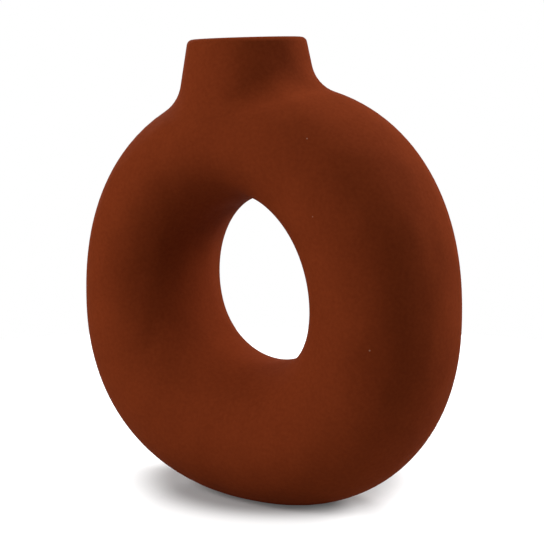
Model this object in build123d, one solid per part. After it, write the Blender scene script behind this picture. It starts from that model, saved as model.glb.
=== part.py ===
from build123d import *

import math
import os

# Overall sizes of the vase, in millimetres and degrees
vase_height = 231.0
body_width = 202.6
body_depth = 84.0
neck_rise = 22.3
foot_cut = 2.3

# The outline's middle, under the crown's highest point, is off the middle of the width
crown_offset = 3.0

# Where up the ring the outline is widest, and how full it is: 2 is an ellipse, and more is squarer
widest_share = 0.4643
outline_power = 2.23

# The ring's thickness above, under and beside the opening, and how far the opening is turned
crown_tube = 55.8
foot_tube = 69.9
left_tube = 61.3
right_tube = 70.6
hole_turn = 17.5

# Where up the opening the quarter ellipses of its egg shape meet
hole_share = 0.465

# Clay wall of the ring, and the thicker floor over the flat foot
ring_wall = 6.0
floor_wall = 8.0

# The neck, off the middle of the width and leaning a little: how far its foot stays inside the body's
# front and back, and how much narrower its rim is all round
neck_offset = -12.4
neck_tilt = 1.9
neck_margin = 8.6
neck_taper = 4.2
neck_wall = 5.0
rim_round = 3.0
mouth_round = 1.5
cove_radius = 20.0

# The most of the neck's wall that the lip's outer and inner roundings may take
rim_share = 0.62
mouth_share = 0.32

# Joints: the neck's spigot in the crown, the slip between the pieces, and the glaze inside
spigot_margin = 0.4
slip_thickness = 0.8
glaze_thickness = 0.8
glaze_stop = 6.0

# Sections round the ring, and how many each half runs past the middle plane before it is trimmed
section_count = 24
overlap_count = 3

# Room past the vase for cuts
overrun = 20.0

# The outline and the opening in the front view, worked out from the sizes above
crown_height = vase_height - neck_rise
widest_height = widest_share * crown_height
opening_height = crown_height - crown_tube - foot_tube
hole_down = hole_share * opening_height
hole_up = opening_height - hole_down
hole_height = foot_tube + hole_down
hole_left = body_width / 2 + crown_offset - left_tube
hole_right = body_width / 2 - crown_offset - right_tube

# The neck's radii where it leaves the crown and at the rim
neck_foot_radius = body_depth / 2 - neck_margin
rim_radius = neck_foot_radius - neck_taper


def oval_radius(angle, right, left, up, down, power):
    """Distance from an oval's middle to its edge, at an angle from +X in the front view."""
    across = math.cos(angle) / (right if math.cos(angle) > 0 else left)
    upright = math.sin(angle) / (up if math.sin(angle) > 0 else down)
    return (abs(across) ** power + abs(upright) ** power) ** (-1 / power)


def outer_radius(angle):
    """The ring's outline, about a point at its widest height."""
    right = body_width / 2 - crown_offset
    left = body_width / 2 + crown_offset
    up = crown_height - widest_height
    down = widest_height + foot_cut
    return oval_radius(angle, right, left, up, down, outline_power)


def hole_radius(angle):
    """The opening's outline, about its own middle."""
    turned = angle - math.radians(hole_turn)
    return oval_radius(turned, hole_right, hole_left, hole_up, hole_down, 2)


def ring_section(angle, inset):
    """The tube's elliptical section at an angle round the ring, drawn in all round by an inset."""
    outward = Vector(math.cos(angle), 0, math.sin(angle))
    outside = Vector(crown_offset, 0, widest_height) + outward * (outer_radius(angle) - inset)
    inside = Vector(crown_offset, 0, hole_height) + outward * (hole_radius(angle) + inset)
    across = outside - inside
    plane = Plane((outside + inside) / 2, x_dir=across, z_dir=across.cross(Vector(0, -1, 0)))
    radii = (across.length / 2, body_depth / 2 - inset)
    arcs = [EllipticalCenterArc((0, 0), *radii, 90 * quarter, arc_size=90) for quarter in range(4)]
    return Wire([plane * arc for arc in arcs])


def room_box(*align):
    """A block larger than the vase, for trimming."""
    room = 2 * vase_height
    return Box(room, room, room, align=align)


def ring_half(inset, side):
    """The right or left half of the ring: a loft run past the middle plane, and trimmed there."""
    quarter = section_count // 4
    middle = 0 if side == Align.MIN else 2 * quarter
    reach = quarter + overlap_count
    steps = range(middle - reach, middle + reach + 1)
    wires = [ring_section(2 * math.pi * step / section_count, inset) for step in steps]
    return Solid.make_loft(wires) & (Pos(crown_offset, 0, 0) * room_box(side, Align.CENTER, Align.CENTER))


def ring_form(inset, floor_height):
    """The whole ring as a solid, drawn in by an inset and cut level at the bottom."""
    ring = ring_half(inset, Align.MIN) + ring_half(inset, Align.MAX)
    return ring & (Pos(0, 0, floor_height) * room_box(Align.CENTER, Align.CENTER, Align.MIN))


# The neck's own frame has the middle of the rim at its origin and the neck hanging below
rim_height = vase_height - rim_radius * math.sin(math.radians(neck_tilt))
neck_frame = Pos(neck_offset, 0, rim_height) * Rot(0, -neck_tilt, 0)
neck_length = vase_height - (crown_height + hole_height + hole_up) / 2
neck_slope = (neck_foot_radius - rim_radius) / neck_rise
spigot_radius = neck_foot_radius + spigot_margin


def neck_cone(inset, rise):
    """The neck's tapered form, drawn in by an inset and run past the rim by a rise."""
    foot = (rim_radius + neck_slope * neck_length - inset, -neck_length)
    top = (rim_radius - neck_slope * rise - inset, rise)
    profile = Polyline((0, -neck_length), foot, top, (0, rise), close=True)
    return neck_frame * revolve(Plane.XZ * make_face(profile), Axis.Z)


def neck_rod(radius):
    """A straight rod on the neck's axis, from the crown's hollow to past the rim."""
    rod = Cylinder(radius, neck_length + overrun, align=(Align.CENTER, Align.CENTER, Align.MIN))
    return neck_frame * Pos(0, 0, -neck_length) * rod


def hollow_form(skin):
    """The space inside, ring and neck together, drawn in from the clay by a skin."""
    cavity = ring_form(ring_wall + skin, floor_wall + skin)
    return cavity + neck_cone(neck_wall + skin, overrun)


def top_face(solid):
    """The highest flat face, which is the lip's."""
    return solid.faces().filter_by(GeomType.PLANE).sort_by(Axis.Z)[-1]


def vessel_wall():
    """All the fired clay in one: ring and neck blended by a cove, hollowed, with a rounded lip."""
    ring = ring_form(0, 0)
    neck = fillet(top_face(neck_cone(0, 0)).edges(), min(rim_round, rim_share * neck_wall))
    body = ring + neck
    body = fillet(new_edges(ring, neck, combined=body), cove_radius)
    body = body - hollow_form(0)
    mouth = top_face(body).edges().sort_by(SortBy.LENGTH)[0]
    return fillet(mouth, min(mouth_round, mouth_share * neck_wall))


# The clay is parted at the neck's spigot, then front from back, with slip filling each joint
vessel = vessel_wall()
sleeve_rod = neck_rod(spigot_radius + slip_thickness)
neck_collar = vessel & neck_rod(spigot_radius)
neck_seam = (vessel & sleeve_rod) - neck_rod(spigot_radius)
ring_clay = vessel - sleeve_rod

half_slip = slip_thickness / 2
front_half = ring_clay & (Pos(0, -half_slip, 0) * room_box(Align.CENTER, Align.MAX, Align.CENTER))
back_half = ring_clay & (Pos(0, half_slip, 0) * room_box(Align.CENTER, Align.MIN, Align.CENTER))
inner_seam, outer_seam = (ring_clay - front_half - back_half).solids().sort_by(SortBy.VOLUME)

# The glaze coats the hollow and stops just below the lip
below_lip = neck_frame * Pos(0, 0, -glaze_stop) * room_box(Align.CENTER, Align.CENTER, Align.MAX)
glaze_lining = (hollow_form(0) - hollow_form(glaze_thickness)) & below_lip

pieces = {
    "front_half": front_half,
    "back_half": back_half,
    "neck_collar": neck_collar,
    "outer_seam": outer_seam,
    "inner_seam": inner_seam,
    "neck_seam": neck_seam,
    "glaze_lining": glaze_lining,
}

os.makedirs("parts", exist_ok=True)
for name, piece in pieces.items():
    export_step(piece, f"parts/{name}.step")
    print(name, len(piece.solids()), "solid", round(piece.volume), "mm3, valid", piece.is_valid)
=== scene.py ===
import math

import bpy
import numpy as np
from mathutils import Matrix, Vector


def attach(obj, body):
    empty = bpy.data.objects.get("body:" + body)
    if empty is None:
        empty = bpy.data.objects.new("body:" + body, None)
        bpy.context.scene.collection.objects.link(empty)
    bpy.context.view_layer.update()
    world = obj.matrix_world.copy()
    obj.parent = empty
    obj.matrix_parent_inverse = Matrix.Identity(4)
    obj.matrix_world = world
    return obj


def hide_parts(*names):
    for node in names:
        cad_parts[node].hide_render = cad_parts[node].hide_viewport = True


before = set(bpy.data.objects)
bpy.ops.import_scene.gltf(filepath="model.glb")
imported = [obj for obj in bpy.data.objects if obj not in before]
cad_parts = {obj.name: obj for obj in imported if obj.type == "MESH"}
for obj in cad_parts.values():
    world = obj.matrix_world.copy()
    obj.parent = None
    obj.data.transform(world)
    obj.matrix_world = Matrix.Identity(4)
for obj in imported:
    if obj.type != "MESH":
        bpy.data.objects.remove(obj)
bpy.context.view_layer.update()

# Sizes of the vase in millimetres and degrees, the same as the CAD part's
vase_height = 231.0
body_width = 202.6
body_depth = 84.0
neck_rise = 22.3
foot_cut = 2.3
crown_offset = 3.0
widest_share = 0.4643
outline_power = 2.23
ellipse_power = 2
crown_tube = 55.8
foot_tube = 69.9
left_tube = 61.3
right_tube = 70.6
hole_turn = 17.5
hole_share = 0.465
ring_wall = 6.0
floor_wall = 8.0
neck_offset = -12.4
neck_tilt = 1.9
neck_margin = 8.6
neck_taper = 4.2
neck_wall = 5.0
rim_round = 3.0
mouth_round = 1.5
cove_radius = 20.0
spigot_margin = 0.4
slip_thickness = 0.8
glaze_thickness = 0.8
glaze_stop = 6.0
millimetre = 0.001

# Steps of the mesh round the ring and round the front half of its section
ring_steps = 144
section_steps = 56

# The part of the front grid that the neck's patch and the foot's patch take the place of
neck_columns = (25, 54)
neck_reach = 27
foot_columns = (96, 120)
foot_reach = 15

# Rows of the neck's patch: ring, cove to the slip, cove to the cone, cone, below the lip, lip
ring_rows, slip_rows, cove_rows, cone_rows, throat_rows, lip_rows = 5, 5, 5, 6, 2, 5
slip_row = ring_rows + slip_rows
glaze_row = slip_row + 1 + cove_rows + cone_rows
neck_row_count = glaze_row + throat_rows + lip_rows

# Rows of the foot's patch: on the ring, and across the flat foot
foot_rows, flat_rows = 5, 3
foot_row_count = foot_rows + flat_rows

# Marks, in place of a row, of the faces that aren't on the neck's patch: on the ring, and on the flat foot
ring_mark, flat_mark = -1, -2

# Rounds of the searches, the least length that counts, and the turn in radians that slopes are taken over
halving_rounds = 36
far_rounds, near_rounds, last_rounds = 40, 12, 60
edge_rounds = 4
least_length = 1e-12
slope_step = 1e-4

# The most of half the body's depth at which the search for the neck's foot starts
start_share = 0.95

# Sizes worked out from the ones above
crown_height = vase_height - neck_rise
widest_height = widest_share * crown_height
opening_height = crown_height - crown_tube - foot_tube
hole_down = hole_share * opening_height
hole_up = opening_height - hole_down
hole_height = foot_tube + hole_down
hole_left = body_width / 2 + crown_offset - left_tube
hole_right = body_width / 2 - crown_offset - right_tube
neck_foot_radius = body_depth / 2 - neck_margin
rim_radius = neck_foot_radius - neck_taper
lean = math.radians(neck_tilt)
rim_height = vase_height - rim_radius * math.sin(lean)
neck_slope = (neck_foot_radius - rim_radius) / neck_rise
slope_length = math.hypot(1, neck_slope)
spigot_radius = neck_foot_radius + spigot_margin
sleeve_radius = spigot_radius + slip_thickness
half_slip = slip_thickness / 2

# The neck's own frame has the middle of the rim at its origin and the neck hanging below
neck_middle = np.array([neck_offset, 0, rim_height])
neck_across = (math.cos(lean), 0, math.sin(lean))
neck_up = (-math.sin(lean), 0, math.cos(lean))
neck_axes = np.array([neck_across, (0, 1, 0), neck_up])

# Angles round the ring, from +X in the front view, and the angle of its lowest point
ring_angles = 2 * math.pi * np.arange(ring_steps) / ring_steps
lowest_angle = 2 * math.pi * 3 / 4


def unit(vectors):
    return vectors / np.linalg.norm(vectors, axis=-1, keepdims=True)


def blend(start, end, share):
    return start + (end - start) * share


def slerp(start, end, share):
    """Unit vectors on the shortest turn from start to end."""
    angle = np.arccos(np.clip((start * end).sum(-1), -1, 1))
    near, far = np.sin((1 - share) * angle), np.sin(share * angle)
    return (start * near[..., None] + end * far[..., None]) / np.sin(angle)[..., None]


def solve(below, low, high):
    """Halving: the value, for each column, up to which below(value) is true."""
    for _ in range(halving_rounds):
        middle = (low + high) / 2
        inside = below(middle)
        low, high = np.where(inside, middle, low), np.where(inside, high, middle)
    return (low + high) / 2


def oval_radius(angle, right, left, up, down, power):
    """Distance from an oval's middle to its edge, at an angle from +X in the front view."""
    across = np.cos(angle) / np.where(np.cos(angle) > 0, right, left)
    upright = np.sin(angle) / np.where(np.sin(angle) > 0, up, down)
    return (np.abs(across) ** power + np.abs(upright) ** power) ** (-1 / power)


def ring_axis(angle, inset):
    """Middle and half length of the ring's section in the front view, at an angle round the ring."""
    outward = np.stack([np.cos(angle), np.sin(angle)], -1)
    right, left = body_width / 2 - crown_offset, body_width / 2 + crown_offset
    up, down = crown_height - widest_height, widest_height + foot_cut
    outer = oval_radius(angle, right, left, up, down, outline_power) - inset
    turned = angle - math.radians(hole_turn)
    hole = oval_radius(turned, hole_right, hole_left, hole_up, hole_down, ellipse_power) + inset
    outside = np.array([crown_offset, widest_height]) + outward * outer[..., None]
    inside = np.array([crown_offset, hole_height]) + outward * hole[..., None]
    return (outside + inside) / 2, (outside - inside) / 2


def ring_point(angle, turn, inset):
    """Points on the front of the ring: an angle round the ring and a turn from its outer edge."""
    middle, reach = ring_axis(angle, inset)
    flat = middle + reach * np.cos(turn)[..., None]
    depth = -(body_depth / 2 - inset) * np.sin(turn)
    return np.stack([flat[..., 0], depth, flat[..., 1]], -1)


def ring_slopes(angle, turn, inset):
    """How a point on the ring moves with its angle and with its turn."""
    step = slope_step
    by_angle = ring_point(angle + step, turn, inset) - ring_point(angle - step, turn, inset)
    by_turn = ring_point(angle, turn + step, inset) - ring_point(angle, turn - step, inset)
    return by_angle / (2 * step), by_turn / (2 * step)


def ring_normal(angle, turn, inset):
    """Outward normal of the ring."""
    by_angle, by_turn = ring_slopes(angle, turn, inset)
    normal = unit(np.cross(by_angle, by_turn))
    middle, _ = ring_axis(angle, inset)
    outward = ring_point(angle, turn, inset) - np.stack([middle[..., 0], 0 * angle, middle[..., 1]], -1)
    return normal * np.sign((normal * outward).sum(-1, keepdims=True))


def nearest_on_ring(points, inset, angle, turn, rounds):
    """Angle and turn of the ring's nearest point, from a first guess, and the signed distance to it."""
    for _ in range(rounds):
        by_angle, by_turn = ring_slopes(angle, turn, inset)
        away = points - ring_point(angle, turn, inset)
        angle_square, turn_square = (by_angle ** 2).sum(-1), (by_turn ** 2).sum(-1)
        shear = (by_angle * by_turn).sum(-1)
        angle_pull, turn_pull = (by_angle * away).sum(-1), (by_turn * away).sum(-1)
        scale = angle_square * turn_square - shear * shear
        angle = angle + (angle_pull * turn_square - turn_pull * shear) / scale
        turn = turn + (turn_pull * angle_square - angle_pull * shear) / scale
    away = points - ring_point(angle, turn, inset)
    return angle, turn, (away * ring_normal(angle, turn, inset)).sum(-1)


def neck_point(azimuth, radius, height):
    """Points in the neck's own frame."""
    local = np.stack([radius * np.cos(azimuth), radius * np.sin(azimuth), height + 0 * azimuth], -1)
    return neck_middle + local @ neck_axes


def cone_normal(azimuth):
    """Outward normal of the neck's cone."""
    return neck_point(azimuth, 1 / slope_length, neck_slope / slope_length) - neck_middle


def axis_distance(points):
    """Distance from the neck's axis."""
    local = (points - neck_middle) @ neck_axes.T
    return np.hypot(local[..., 0], local[..., 1])


def patch_path(first, last, reach):
    """Rows and columns of the grid round a patch: along a column, across at its reach, and back."""
    step = 1 if last > first else -1
    path = [(row, first) for row in range(reach)]
    path += [(reach, column) for column in range(first, last, step)]
    path += [(row, last) for row in range(reach, -1, -1)]
    return path


neck_path = patch_path(neck_columns[1], neck_columns[0], neck_reach)
foot_path = patch_path(foot_columns[0], foot_columns[1], foot_reach)


def mirrored(vectors):
    """The front half's vectors, and then the back half's."""
    return np.concatenate([vectors, vectors * np.array([1, -1, 1])])


class Rows:
    """Rows of points, with the outward directions of the ring's faces and of the neck's at each."""

    def __init__(self):
        self.points, self.ring_normals, self.neck_normals = [], [], []

    def add(self, points, ring_normals=0, neck_normals=0):
        """One more row, with directions of zero where there are no such faces."""
        self.points.append(points)
        self.ring_normals.append(0 * points + ring_normals)
        self.neck_normals.append(0 * points + neck_normals)

    def arrays(self):
        return np.array(self.points), np.array(self.ring_normals), np.array(self.neck_normals)


class Skin:
    """One surface of the vase, drawn in from the outside by an inset.

    points holds the places, and ring_normals and neck_normals the outward directions of the ring's
    faces and of the neck's at each of them. All the skins have the same faces.
    """

    def __init__(self, ring_inset, neck_inset, floor, cove):
        self.inset, self.neck_inset, self.floor, self.cove = ring_inset, neck_inset, floor, cove
        edge = math.asin(half_slip / (body_depth / 2 - ring_inset))
        self.turns = edge + (math.pi - 2 * edge) * np.arange(section_steps + 1) / section_steps
        self.first_neck_row = ring_rows if cove else slip_row + 1 + cove_rows
        patches = self.grid(), self.neck_patch(), self.foot_patch()
        self.points, self.ring_normals, self.neck_normals = (
            mirrored(np.concatenate([part.reshape(-1, 3) for part in parts])) for parts in zip(*patches))

    def corner_normals(self, row, corners):
        """Outward directions at a face's corners, of the surface that its row or mark puts it on."""
        if row == flat_mark:
            return np.tile(np.array([0.0, 0.0, -1.0]), (len(corners), 1))
        if row >= self.first_neck_row:
            return self.neck_normals[corners]
        return self.ring_normals[corners]

    def on_ring(self, angle, turn):
        """Points on the ring, and its outward normals there."""
        return ring_point(angle, turn, self.inset), ring_normal(angle, turn, self.inset)

    def path_places(self, path):
        """Angles and turns of the grid's points along a path."""
        angle = np.array([ring_angles[column] for _, column in path])
        turn = np.array([self.turns[row] for row, _ in path])
        return angle, turn

    def cone_radius(self, depth):
        """Radius of the neck's cone, at a depth under the rim."""
        return rim_radius - self.neck_inset + neck_slope * depth

    def cone_point(self, azimuth, depth):
        """Points on the neck's cone, at a depth under the rim."""
        return neck_point(azimuth, self.cone_radius(depth), -depth)

    def grid(self):
        """Columns of points round the front half of the ring's section, one column for each angle."""
        angle, turn = np.meshgrid(ring_angles, self.turns, indexing="ij")
        points, normals = self.on_ring(angle, turn)
        return points, normals, 0 * points

    def meeting(self, azimuth):
        """Where each column of the neck meets the ring: depth, angle, turn and the cove's centre."""
        lift = self.cove / slope_length

        def centre(depth):
            return neck_point(azimuth, self.cone_radius(depth) + lift, neck_slope * lift - depth)

        start = centre(0 * azimuth + neck_rise)
        angle = np.arctan2(start[:, 2] - hole_height, start[:, 0] - crown_offset)
        turn = np.arcsin(np.clip(-start[:, 1] / (body_depth / 2), -start_share, start_share))
        guess = nearest_on_ring(start, self.inset, angle, turn, far_rounds)[:2]

        def above(depth):
            return nearest_on_ring(centre(depth), self.inset, *guess, near_rounds)[2] > self.cove

        depth = solve(above, 0 * azimuth, 0 * azimuth + 2 * neck_rise)
        angle, turn, _ = nearest_on_ring(centre(depth), self.inset, *guess, last_rounds)
        return depth, angle, turn, centre(depth)

    def neck_patch(self):
        """Rows from the grid's edge over the ring and the cove, up the neck and over half of the lip."""
        from_angle, from_turn = self.path_places(neck_path)
        local = (ring_point(from_angle, from_turn, self.inset) - neck_middle) @ neck_axes.T
        azimuth = np.arctan2(local[:, 1], local[:, 0])
        for _ in range(edge_rounds):
            depth, angle, turn, centre = self.meeting(azimuth)
            reach = axis_distance(ring_point(angle, turn, self.inset))
            azimuth[0] = -math.pi + math.asin(half_slip / reach[0])
            azimuth[-1] = -math.asin(half_slip / reach[-1])
        turn[0] = turn[-1] = self.turns[0]

        def way(share):
            """Angle and turn on the ring, a share of the way from the grid's edge to the neck."""
            return blend(from_angle, angle, share), blend(from_turn, turn, share)

        rows = Rows()
        if self.cove:
            self.add_cove(rows, way, azimuth, depth, centre)
        else:
            self.add_corner(rows, way, azimuth, depth)
        self.add_lip(rows, azimuth)
        return rows.arrays()

    def add_cove(self, rows, way, azimuth, depth, centre):
        """Rows over the ring to the cove, up the cove to the slip and to the cone, and up the cone."""
        for row in range(1, ring_rows):
            rows.add(*self.on_ring(*way(row / ring_rows)))
        foot, foot_normal = self.on_ring(*way(1))
        rows.add(foot, foot_normal, foot_normal)
        low, high = unit(foot - centre), -cone_normal(azimuth)

        def climb(share):
            """Points and normals up the cove, and from a share of 1 to 2 up the cone."""
            facing = -slerp(low, high, np.minimum(share, 1))
            cone = self.cone_point(azimuth, blend(depth, glaze_stop, np.maximum(share - 1, 0)))
            return np.where((share < 1)[:, None], centre - self.cove * facing, cone), facing

        def share_at(radius):
            """Where the climb crosses a rod round the neck's axis."""
            return solve(lambda share: axis_distance(climb(share)[0]) > radius, 0 * azimuth, 0 * azimuth + 2)

        sleeve, spigot = share_at(sleeve_radius), share_at(spigot_radius)
        shares = [sleeve * row / slip_rows for row in range(1, slip_rows + 1)] + [spigot]
        rest = cove_rows + cone_rows
        shares += [blend(spigot, 2, row / rest) for row in range(1, rest + 1)]
        for share in shares:
            points, facing = climb(share)
            rows.add(points, neck_normals=facing)

    def add_corner(self, rows, way, azimuth, depth):
        """Rows over the ring to the slip and to the sharp corner with the cone, and up the cone."""

        def distance(share):
            return axis_distance(ring_point(*way(share), self.inset))

        def share_at(radius):
            """Where the way crosses a rod round the neck's axis."""
            return solve(lambda share: distance(share) > radius, 0 * azimuth, 0 * azimuth + 1)

        sleeve, spigot = share_at(sleeve_radius), share_at(spigot_radius)
        shares = [sleeve * row / slip_row for row in range(1, slip_row + 1)] + [spigot]
        shares += [blend(spigot, 1, row / cove_rows) for row in range(1, cove_rows)]
        for share in shares:
            rows.add(*self.on_ring(*way(share)))
        rows.add(*self.on_ring(*way(1)), cone_normal(azimuth))
        for row in range(1, cone_rows + 1):
            level = blend(depth, glaze_stop, row / cone_rows)
            rows.add(self.cone_point(azimuth, level), neck_normals=cone_normal(azimuth))

    def add_lip(self, rows, azimuth):
        """Rows from the glaze's edge up to the lip's rounding, and over it to the top."""
        side, lip = (1, rim_round) if self.cove else (-1, mouth_round)
        tilt = math.atan(neck_slope)
        turn_radius = self.cone_radius(0) + neck_slope * lip - side * lip * slope_length
        lip_depth = lip - side * lip * math.sin(tilt)
        for row in range(1, throat_rows + 1):
            level = blend(glaze_stop, lip_depth, row / throat_rows)
            rows.add(self.cone_point(azimuth, level), neck_normals=cone_normal(azimuth))
        start = tilt if self.cove else math.pi + tilt
        for row in range(1, lip_rows + 1):
            swing = blend(start, math.pi / 2, row / lip_rows)
            across, rise = math.cos(swing), math.sin(swing)
            facing = side * (neck_point(azimuth, across, rise) - neck_middle)
            rows.add(neck_point(azimuth, turn_radius + lip * across, lip * (rise - 1)), neck_normals=facing)

    def foot_patch(self):
        """Rows from the grid's edge down to the foot's outline, then across the flat foot to the slip."""
        from_angle, from_turn = self.path_places(foot_path)

        def way(share):
            """Angle and turn on the ring, a share of the way from its lowest point to the grid's edge."""
            return blend(lowest_angle, from_angle, share), blend(self.turns[0], from_turn, share)

        def below(share):
            return ring_point(*way(share), self.inset)[:, 2] < self.floor

        edge = solve(below, 0 * from_angle, 0 * from_angle + 1)
        rows = Rows()
        for row in range(1, foot_rows + 1):
            rows.add(*self.on_ring(*way(blend(1, edge, row / foot_rows))))
        outline = rows.points[-1]
        outline[:, 2] = self.floor
        for row in range(1, flat_rows + 1):
            across = outline.copy()
            across[:, 1] = blend(outline[:, 1], -half_slip, row / flat_rows)
            rows.add(across)
        return rows.arrays()


# Numbers of the front half's points; the back half's follow after them, in the same order
grid_count = ring_steps * (section_steps + 1)
neck_count = neck_row_count * len(neck_path)
front_count = grid_count + neck_count + foot_row_count * len(foot_path)


def grid_number(row, column):
    """Number of a point of the grid, whose last column runs on into its first."""
    return (column % ring_steps) * (section_steps + 1) + row


def neck_number(row, column):
    """Number of a point of the neck's patch, whose row 0 is the grid's edge."""
    if row == 0:
        return grid_number(*neck_path[column])
    return grid_count + (row - 1) * len(neck_path) + column


def foot_number(row, column):
    """Number of a point of the foot's patch, whose flat part comes to a point at both ends."""
    if row == 0:
        return grid_number(*foot_path[column])
    if column in (0, len(foot_path) - 1):
        row = min(row, foot_rows)
    return grid_count + neck_count + (row - 1) * len(foot_path) + column


def face_corners(number, row, column):
    """Numbers of the corners of the face past a row and a column, in order round it."""
    near = [number(row, column), number(row, column + 1)]
    far = [number(row + 1, column + 1), number(row + 1, column)]
    return near + far


def under_patch(row, column):
    """Whether a face of the grid has the neck's patch or the foot's in its place."""
    in_neck = neck_columns[0] <= column < neck_columns[1] and row < neck_reach
    in_foot = foot_columns[0] <= column < foot_columns[1] and row < foot_reach
    return in_neck or in_foot


def neck_owner(row, ring_piece):
    """The piece that a row of the neck's patch belongs to."""
    if row < slip_row:
        return ring_piece
    return "neck_seam" if row == slip_row else "neck_collar"


def front_faces():
    """Faces of the front half: piece, row on the neck's patch or mark, and corners."""
    faces = []
    for column in range(ring_steps):
        for row in range(section_steps):
            if not under_patch(row, column):
                faces.append(("half", ring_mark, face_corners(grid_number, row, column)))
    for row in range(neck_row_count):
        for column in range(len(neck_path) - 1):
            faces.append((neck_owner(row, "half"), row, face_corners(neck_number, row, column)))
    for row in range(foot_row_count):
        mark = ring_mark if row < foot_rows else flat_mark
        for column in range(len(foot_path) - 1):
            faces.append(("half", mark, face_corners(foot_number, row, column)))
    return faces


def seam_faces():
    """Faces between the front half's edges and the back half's: piece, row or mark, and corners."""
    faces = []

    def bridge(piece, mark, number, start, end):
        """One face, from a row and column on the front half's edge to the next one along it."""
        first, second = number(*start), number(*end)
        if first != second:
            faces.append((piece, mark, [first, second, second + front_count, first + front_count]))

    for column in range(ring_steps):
        bridge("inner_seam", ring_mark, grid_number, (section_steps, column), (section_steps, column + 1))
        if not under_patch(0, column):
            bridge("outer_seam", ring_mark, grid_number, (0, column), (0, column + 1))
    for column in (0, len(neck_path) - 1):
        for row in range(neck_row_count):
            bridge(neck_owner(row, "outer_seam"), row, neck_number, (row, column), (row + 1, column))
    for column in (0, len(foot_path) - 1):
        for row in range(foot_rows):
            bridge("outer_seam", ring_mark, foot_number, (row, column), (row + 1, column))
    for column in range(len(foot_path) - 1):
        bridge("outer_seam", flat_mark, foot_number, (foot_row_count, column), (foot_row_count, column + 1))
    return faces


def plain_normal(places):
    """Normal of a flat face with three or four corners."""
    normal = np.cross(places[2] - places[0], places[-1] - places[1])
    return normal / max(np.linalg.norm(normal), least_length)


def wall_faces(skin):
    """Every face of the wall once, with its corners in order seen from outside the skin."""
    faces = []
    for piece, row, corners in front_faces():
        for half, shift in (("front_half", 0), ("back_half", front_count)):
            name = half if piece == "half" else piece
            faces.append((name, row, [corner + shift for corner in corners]))
    ordered = []
    for piece, row, corners in faces + seam_faces():
        corners = list(dict.fromkeys(corners))
        facing = skin.corner_normals(row, corners).sum(0)
        if plain_normal(skin.points[corners]) @ facing < 0:
            corners.reverse()
        ordered.append((piece, row, corners))
    return ordered


def make_piece(name, faces, outer, inner):
    """A closed mesh between two skins, with each skin's own normals on its faces."""
    polygons, normals = [], []
    shift = len(outer.points)
    places = np.concatenate([outer.points, inner.points])
    edges = {}
    for row, corners in faces:
        polygons.append(corners)
        normals.append(outer.corner_normals(row, corners))
        polygons.append([corner + shift for corner in corners[::-1]])
        normals.append(-inner.corner_normals(row, corners[::-1]))
        edges.update(dict.fromkeys(zip(corners, corners[1:] + corners[:1])))
    # A side joins the two skins along each edge that no other face of the piece shares
    for start, end in edges:
        if (end, start) not in edges:
            side = [end, start, start + shift, end + shift]
            polygons.append(side)
            normals.append(np.tile(plain_normal(places[side]), (len(side), 1)))
    used = np.unique(np.concatenate([np.array(polygon) for polygon in polygons]))
    number = np.full(len(places), -1)
    number[used] = np.arange(len(used))
    mesh = bpy.data.meshes.new(name)
    corners = [number[polygon].tolist() for polygon in polygons]
    mesh.from_pydata((places[used] * millimetre).tolist(), [], corners)
    mesh.polygons.foreach_set("use_smooth", [True] * len(mesh.polygons))
    mesh.normals_split_custom_set(unit(np.concatenate(normals)).tolist())
    mesh.update()
    piece = bpy.data.objects.new(name, mesh)
    bpy.context.scene.collection.objects.link(piece)
    return piece


# Looks of the clay. Noise scales are in waves a metre, depths in metres, and specks' reaches in cells
mottle_scale, mottle_detail = 28.0, 4.0
grain_scale, grain_detail = 600.0, 3.0
grain_share = 0.6
clay_tones = (0.36, 0.64)
clay_colours = ((0.173, 0.028, 0.0068, 1), (0.208, 0.0355, 0.0091, 1))
mottle_range = (0.3, 0.7)
clay_roughness = (0.86, 0.94)
clay_shine = 0.02
speck_scale = 50.0
speck_reach = (0.012, 0.025)
speck_shares = (0.5, 0.0)
speck_colour = (0.5, 0.38, 0.28, 1)
uneven_scale, uneven_detail = 38.0, 1.0
uneven_strength, uneven_depth = 1.0, 0.0025
grain_strength, grain_depth = 0.25, 0.0002

# Looks of the glaze
pool_scale, pool_detail = 60.0, 2.0
pool_tones = (0.0, 1.0)
glaze_colours = ((0.075, 0.018, 0.008, 1), (0.125, 0.03, 0.012, 1))
glaze_roughness = 0.2

# Places of the colour sockets on a mix node
mix_first, mix_second, mix_result = 6, 7, 2


def socket(node, name, value):
    node.inputs[name].default_value = value


def new_material(name):
    """A material with its nodes, its links and its shader."""
    material = bpy.data.materials.new(name)
    material.use_nodes = True
    nodes, links = material.node_tree.nodes, material.node_tree.links
    return material, nodes, links, nodes["Principled BSDF"]


def noise_texture(nodes, links, place, scale, detail):
    noise = nodes.new("ShaderNodeTexNoise")
    socket(noise, "Scale", scale)
    socket(noise, "Detail", detail)
    links.new(place.outputs["Object"], noise.inputs["Vector"])
    return noise.outputs["Fac"]


def map_range(nodes, links, value, source, target, kind="LINEAR"):
    """A value carried from one range to another, and held inside it."""
    mapped = nodes.new("ShaderNodeMapRange")
    mapped.interpolation_type = kind
    for name, limit in zip(("From Min", "From Max", "To Min", "To Max"), source + target):
        socket(mapped, name, limit)
    links.new(value, mapped.inputs["Value"])
    return mapped.outputs["Result"]


def colour_ramp(nodes, links, value, source, colours):
    """A colour from one to another over a range of a value."""
    ramp = nodes.new("ShaderNodeValToRGB")
    for element, position, colour in zip(ramp.color_ramp.elements, source, colours):
        element.position = position
        element.color = colour
    links.new(value, ramp.inputs["Fac"])
    return ramp.outputs["Color"]


def bump_node(nodes, links, height, strength, distance):
    bump = nodes.new("ShaderNodeBump")
    socket(bump, "Strength", strength)
    socket(bump, "Distance", distance)
    links.new(height, bump.inputs["Height"])
    return bump


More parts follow.
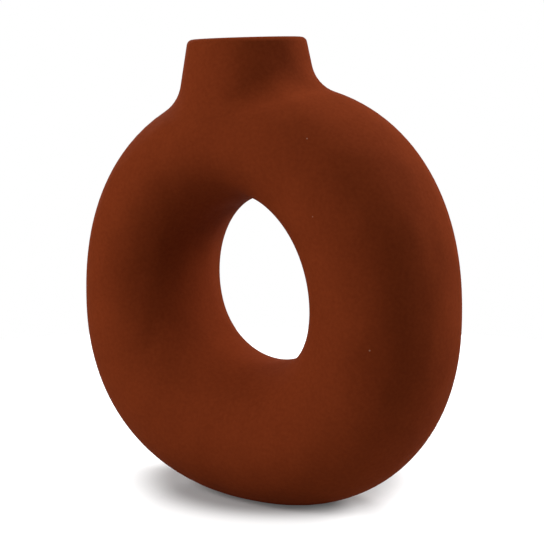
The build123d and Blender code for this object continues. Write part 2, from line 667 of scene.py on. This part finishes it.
def clay_material(name):
    """Matte rust clay: soft mottling, fine grain, a few pale specks and the unevenness of handwork."""
    material, nodes, links, shader = new_material(name)
    place = nodes.new("ShaderNodeTexCoord")
    mottle = noise_texture(nodes, links, place, mottle_scale, mottle_detail)
    grain = noise_texture(nodes, links, place, grain_scale, grain_detail)
    both = nodes.new("ShaderNodeMix")
    socket(both, "Factor", grain_share)
    links.new(mottle, both.inputs["A"])
    links.new(grain, both.inputs["B"])
    tone = colour_ramp(nodes, links, both.outputs["Result"], clay_tones, clay_colours)
    # A pale grog speck in each cell of the clay, seen only where the surface cuts through one
    cells = nodes.new("ShaderNodeTexVoronoi")
    socket(cells, "Scale", speck_scale)
    links.new(place.outputs["Object"], cells.inputs["Vector"])
    paint = nodes.new("ShaderNodeMix")
    paint.data_type = "RGBA"
    speck = map_range(nodes, links, cells.outputs["Distance"], speck_reach, speck_shares)
    links.new(speck, paint.inputs["Factor"])
    links.new(tone, paint.inputs[mix_first])
    paint.inputs[mix_second].default_value = speck_colour
    links.new(paint.outputs[mix_result], shader.inputs["Base Color"])
    # The slight unevenness of a surface smoothed by hand, with the grain over it
    waves = noise_texture(nodes, links, place, uneven_scale, uneven_detail)
    uneven = bump_node(nodes, links, waves, uneven_strength, uneven_depth)
    grainy = bump_node(nodes, links, grain, grain_strength, grain_depth)
    links.new(uneven.outputs["Normal"], grainy.inputs["Normal"])
    links.new(grainy.outputs["Normal"], shader.inputs["Normal"])
    links.new(map_range(nodes, links, mottle, mottle_range, clay_roughness), shader.inputs["Roughness"])
    socket(shader, "Specular IOR Level", clay_shine)
    return material


def glaze_material(name):
    """Glossy glaze, darker than the bare clay, and thicker in some places than in others."""
    material, nodes, links, shader = new_material(name)
    place = nodes.new("ShaderNodeTexCoord")
    pool = noise_texture(nodes, links, place, pool_scale, pool_detail)
    tone = colour_ramp(nodes, links, pool, pool_tones, glaze_colours)
    links.new(tone, shader.inputs["Base Color"])
    socket(shader, "Roughness", glaze_roughness)
    return material


# The surfaces of the clay outside and inside, and of the glaze on the clay
outside = Skin(0.0, 0.0, 0.0, cove_radius)
inside = Skin(ring_wall, neck_wall, floor_wall, 0.0)
glazed = Skin(ring_wall + glaze_thickness, neck_wall + glaze_thickness, floor_wall + glaze_thickness, 0.0)

# The pieces of clay and slip, which go through the wall, and the lining of glaze
materials = {"clay": clay_material("clay"), "slip": clay_material("slip"), "glaze": glaze_material("glaze")}
piece_slots = {
    "front_half": "clay",
    "back_half": "clay",
    "neck_collar": "clay",
    "outer_seam": "slip",
    "inner_seam": "slip",
    "neck_seam": "slip",
}
faces_of_wall = wall_faces(outside)
for node_name, slot_name in piece_slots.items():
    faces = [(row, corners) for owner, row, corners in faces_of_wall if owner == node_name]
    piece = make_piece(node_name + "_visual", faces, outside, inside)
    piece.data.materials.append(materials[slot_name])
    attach(piece, "root")
    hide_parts(node_name)

lining_faces = [(row, corners) for _, row, corners in faces_of_wall if row < glaze_row]
lining = make_piece("glaze_lining_visual", lining_faces, inside, glazed)
lining.data.materials.append(materials["glaze"])
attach(lining, "root")
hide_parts("glaze_lining")


def seen_ray(nodes, links):
    """1 for rays that show the background: the camera's, mirrored ones and ones through glass."""
    ray = nodes.new("ShaderNodeLightPath")
    total = ray.outputs["Is Camera Ray"]
    for name in ("Is Glossy Ray", "Is Transmission Ray"):
        larger = nodes.new("ShaderNodeMath")
        larger.operation = "MAXIMUM"
        links.new(total, larger.inputs[0])
        links.new(ray.outputs[name], larger.inputs[1])
        total = larger.outputs["Value"]
    return total


# The floor, in metres. The lamps cast the vase's shadow on it, and its glow to the camera is low near the
# vase and grows towards white away from it, which paints a soft shadow round the vase's base
floor_radius = 0.45
floor_sides = 96
floor_drop = 0.0001
floor_colour = (0.6, 0.6, 0.6, 1)
floor_roughness = 0.9
painted_shadow_middle = (-0.0127, 0.0269, 0)
painted_shadow_reach = (0.052, 0.083)
painted_shadow_glow = (0.08, 0.78)
white_colour = (1, 1, 1, 1)
bpy.ops.mesh.primitive_circle_add(
    vertices=floor_sides, radius=floor_radius, fill_type="NGON", location=(0, 0, -floor_drop))
floor = bpy.context.object
floor.name = "floor"
floor_paint, nodes, links, floor_shader = new_material("floor_paint")
socket(floor_shader, "Base Color", floor_colour)
socket(floor_shader, "Roughness", floor_roughness)
socket(floor_shader, "Specular IOR Level", 0.0)
socket(floor_shader, "Emission Color", white_colour)
place = nodes.new("ShaderNodeTexCoord")
reach = nodes.new("ShaderNodeVectorMath")
reach.operation = "DISTANCE"
links.new(place.outputs["Object"], reach.inputs[0])
reach.inputs[1].default_value = painted_shadow_middle
# Painted shadow: the glow is low near the middle and full past the reach, so the floor round the vase's base
# is darkened by paint as well as by the lamps
painted_shadow_fade = map_range(nodes, links, reach.outputs["Value"], painted_shadow_reach, painted_shadow_glow, "SMOOTHSTEP")
glow = nodes.new("ShaderNodeMath")
glow.operation = "MULTIPLY"
links.new(painted_shadow_fade, glow.inputs[0])
links.new(seen_ray(nodes, links), glow.inputs[1])
links.new(glow.outputs["Value"], floor_shader.inputs["Emission Strength"])
floor.data.materials.append(floor_paint)

# White behind the vase where it is seen, and a little light from all round
ambient_strength = 0.12
world = bpy.data.worlds.new("surround")
bpy.context.scene.world = world
world.use_nodes = True
nodes, links = world.node_tree.nodes, world.node_tree.links
ambient = nodes["Background"]
socket(ambient, "Color", white_colour)
socket(ambient, "Strength", ambient_strength)
white = nodes.new("ShaderNodeBackground")
socket(white, "Color", white_colour)
socket(white, "Strength", 1.0)
choose = nodes.new("ShaderNodeMixShader")
links.new(seen_ray(nodes, links), choose.inputs["Fac"])
links.new(ambient.outputs["Background"], choose.inputs[1])
links.new(white.outputs["Background"], choose.inputs[2])
links.new(choose.outputs["Shader"], nodes["World Output"].inputs["Surface"])


def direction(heading, level):
    """Unit vector at an angle to the right of the front and an angle above level."""
    flat = math.cos(level)
    return Vector((math.sin(heading) * flat, -math.cos(heading) * flat, math.sin(level)))


# The camera, at the photograph's angle, in metres, degrees and pixels
view_angle = math.radians(31.73)
view_distance = 0.73298
view_height = 0.2262
aim_aside = -0.00063
aim_height = 0.1147
focal_pixels = 1485.2
picture_pixels = 544
sensor_width = 36.0
camera_data = bpy.data.cameras.new("camera")
camera_data.sensor_width = sensor_width
camera_data.lens = focal_pixels * sensor_width / picture_pixels
camera = bpy.data.objects.new("camera", camera_data)
bpy.context.scene.collection.objects.link(camera)
middle = Vector((crown_offset * millimetre, 0, 0))
camera.location = middle + direction(view_angle, 0) * view_distance + Vector((0, 0, view_height))
aim = middle + Vector((math.cos(view_angle) * aim_aside, math.sin(view_angle) * aim_aside, aim_height))
camera.rotation_euler = (aim - camera.location).to_track_quat("-Z", "Y").to_euler()
bpy.context.scene.camera = camera

# Soft lamps round the vase: angle to the right of the camera, angle above level, and power in watts
lamp_distance = 1.0
lamp_size = 0.35
lamp_aim = Vector((0, 0, 0.11))
lamps = {
    "right": (101, 28, 5.5),
    "right_high": (120, 52, 3.2),
    "right_top": (135, 75, 1.4),
    "left": (-60, 28, 4.2),
    "left_side": (-80, 28, 0.9),
    "left_high": (-80, 52, 0.7),
    "left_low": (-60, 5, 0.6),
    "back": (-160, 28, 2.8),
}
for name, (around, up, power) in lamps.items():
    lamp_data = bpy.data.lights.new(name, "AREA")
    lamp_data.shape = "DISK"
    lamp_data.size = lamp_size
    lamp_data.energy = power
    lamp = bpy.data.objects.new(name, lamp_data)
    bpy.context.scene.collection.objects.link(lamp)
    out = direction(view_angle + math.radians(around), math.radians(up))
    lamp.location = lamp_aim + out * lamp_distance
    lamp.rotation_euler = (-out).to_track_quat("-Z", "Y").to_euler()
    lamp.visible_camera = False

bpy.context.scene.view_settings.view_transform = "Standard"
